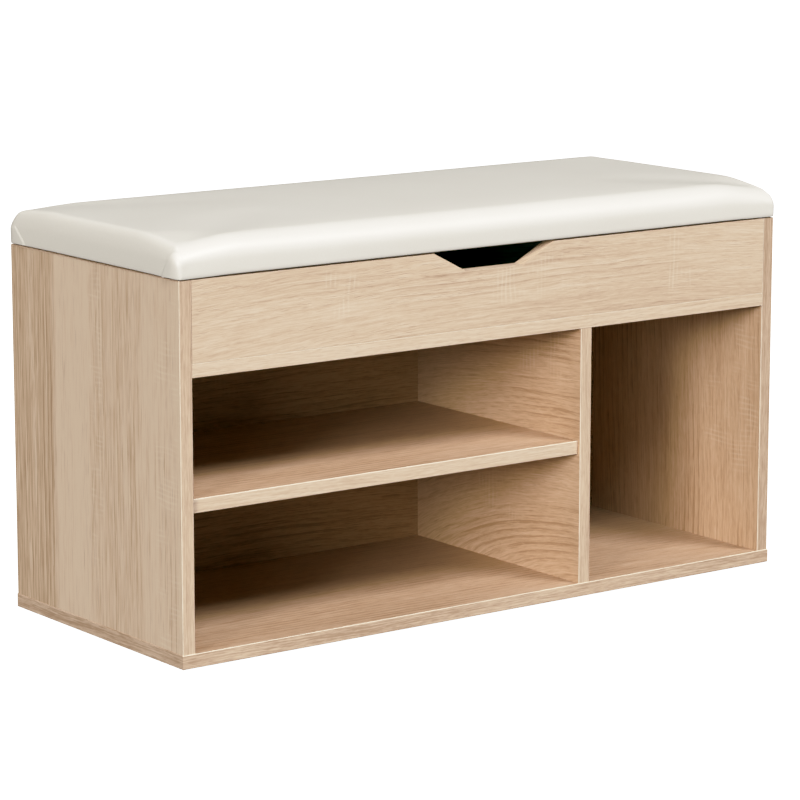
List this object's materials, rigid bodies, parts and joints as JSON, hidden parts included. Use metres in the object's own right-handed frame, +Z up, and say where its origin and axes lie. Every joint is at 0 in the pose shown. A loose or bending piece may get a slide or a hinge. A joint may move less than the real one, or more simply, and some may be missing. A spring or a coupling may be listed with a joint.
{
  "type": "entryway bench",
  "caption": "Low oak-look entryway bench with open shoe cubbies, a divider and shelf, and a padded flip-up seat over a shallow storage tray with a finger notch.",
  "frame": {"origin": "on the floor, at the middle of the bench's footprint", "axes": "+X to the right along the width, +Y to the rear, +Z up; the open cubbies and the finger notch face -Y"},
  "size_m": [0.805, 0.3378, 0.4482],
  "materials": {
    "oak_board": "melamine-faced chipboard with a light sonoma oak print, matt with a fine pore texture",
    "oak_edge": "light oak print edge band, satin",
    "faux_leather": "off-white faux leather, soft satin",
    "foam": "open-cell upholstery foam",
    "lining": "black non-woven lining",
    "chipboard": "raw chipboard",
    "beech": "fluted beech dowel, raw",
    "zinc_steel": "bright zinc-plated steel and zinc die-cast",
    "glide_plastic": "dark plastic",
    "clear_rubber": "translucent soft bumper"
  },
  "bodies": {
    "case": {"bottom_board": "oak_board", "side_panel_left": "oak_board", "side_panel_right": "oak_board", "divider": "oak_board", "shelf": "oak_board", "storage_floor": "oak_board", "front_panel": "oak_board", "rear_rail": "oak_board", "back_panel": "oak_board", "bottom_edge_bands": "oak_edge", "side_edge_bands_left": "oak_edge", "side_edge_bands_right": "oak_edge", "divider_edge_band": "oak_edge", "shelf_edge_band": "oak_edge", "storage_floor_edge_band": "oak_edge", "front_panel_edge_bands": "oak_edge", "rear_rail_edge_band": "oak_edge", "floor_glides": "glide_plastic", "dowels": "beech", "cam_locks": "zinc_steel", "cam_bolts": "zinc_steel", "confirmat_screws": "zinc_steel", "shelf_pins": "zinc_steel", "hinge_case_leaf_left": "zinc_steel", "hinge_case_leaf_right": "zinc_steel", "hinge_pin_left": "zinc_steel", "hinge_pin_right": "zinc_steel", "hinge_case_screws": "zinc_steel", "stay_case_bracket_left": "zinc_steel", "stay_case_bracket_right": "zinc_steel", "stay_case_rivets": "zinc_steel", "stay_case_screws": "zinc_steel"},
    "lid": {"lid_board": "chipboard", "seat_foam": "foam", "seat_cover": "faux_leather", "lid_lining": "lining", "lining_staples": "zinc_steel", "lid_bumpers": "clear_rubber", "hinge_lid_leaf_left": "zinc_steel", "hinge_lid_leaf_right": "zinc_steel", "hinge_lid_screws": "zinc_steel", "stay_lid_bracket_left": "zinc_steel", "stay_lid_bracket_right": "zinc_steel", "stay_lid_rivets": "zinc_steel", "stay_lid_screws": "zinc_steel"},
    "stay_lower_left": {"stay_lower_arm_left": "zinc_steel", "stay_elbow_rivet_left": "zinc_steel"},
    "stay_upper_left": {"stay_upper_arm_left": "zinc_steel"},
    "stay_lower_right": {"stay_lower_arm_right": "zinc_steel", "stay_elbow_rivet_right": "zinc_steel"},
    "stay_upper_right": {"stay_upper_arm_right": "zinc_steel"}
  },
  "joints": [
    {"name": "seat_hinge", "type": "hinge", "parent": "case", "child": "lid", "pos_m": [0, 0.1678, 0.4012], "axis": [-1, 0, 0], "range_deg": [0, 90]},
    {"name": "stay_lower_turn_left", "type": "hinge", "parent": "case", "child": "stay_lower_left", "pos_m": [0, 0.1078, 0.3512], "axis": [-1, 0, 0], "range_deg": [0, 90]},
    {"name": "stay_upper_turn_left", "type": "hinge", "parent": "lid", "child": "stay_upper_left", "pos_m": [0, 0.0378, 0.3872], "axis": [-1, 0, 0], "range_deg": [-90, 0]},
    {"name": "stay_lower_turn_right", "type": "hinge", "parent": "case", "child": "stay_lower_right", "pos_m": [0, 0.1078, 0.3512], "axis": [-1, 0, 0], "range_deg": [0, 90]},
    {"name": "stay_upper_turn_right", "type": "hinge", "parent": "lid", "child": "stay_upper_right", "pos_m": [0, 0.0378, 0.3872], "axis": [-1, 0, 0], "range_deg": [-90, 0]}
  ],
  "couplings": [
    {"joint": "stay_lower_turn_left", "follows": "seat_hinge", "ratio": 1},
    {"joint": "stay_upper_turn_left", "follows": "seat_hinge", "ratio": -1},
    {"joint": "stay_lower_turn_right", "follows": "seat_hinge", "ratio": 1},
    {"joint": "stay_upper_turn_right", "follows": "seat_hinge", "ratio": -1}
  ]
}
